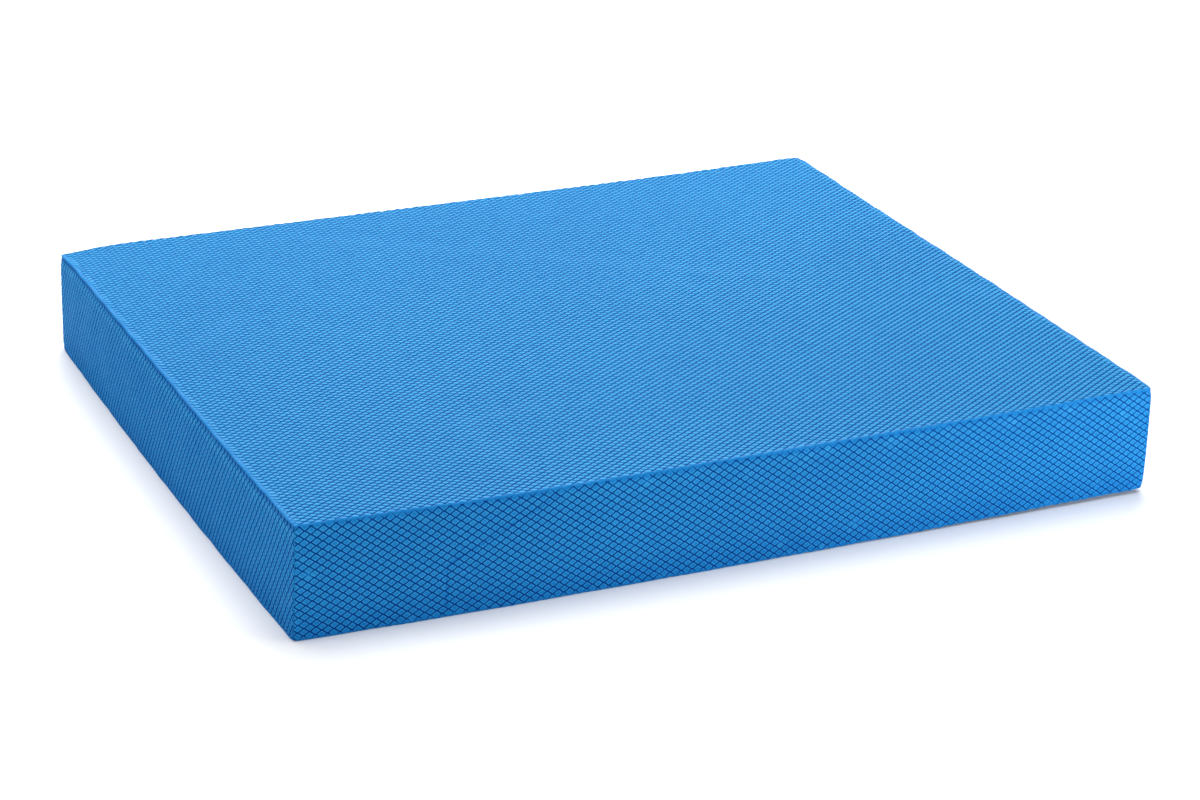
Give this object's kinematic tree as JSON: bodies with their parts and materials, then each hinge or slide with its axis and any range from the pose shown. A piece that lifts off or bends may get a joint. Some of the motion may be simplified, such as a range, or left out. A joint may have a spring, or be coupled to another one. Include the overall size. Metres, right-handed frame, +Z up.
{
  "type": "balance pad",
  "caption": "Thick rectangular closed-cell foam balance pad, wrapped in foam sheets embossed with small raised diamonds.",
  "frame": {"origin": "middle of the underside, on the surface that the pad lies on", "axes": "+X along the long side, +Y along the short side from the front towards the rear, +Z up through the thickness"},
  "size_m": [0.48, 0.4, 0.06],
  "materials": {
    "embossed_sheet": "soft satin closed-cell foam skin, embossed with diamonds",
    "core_foam": "matt cut closed-cell foam"
  },
  "bodies": {
    "root": {"top_skin": "embossed_sheet", "bottom_skin": "embossed_sheet", "front_skin": "embossed_sheet", "rear_skin": "embossed_sheet", "left_skin": "embossed_sheet", "right_skin": "embossed_sheet", "core_bottom_slab": "core_foam", "core_lower_slab": "core_foam", "core_upper_slab": "core_foam", "core_top_slab": "core_foam"}
  },
  "joints": []
}
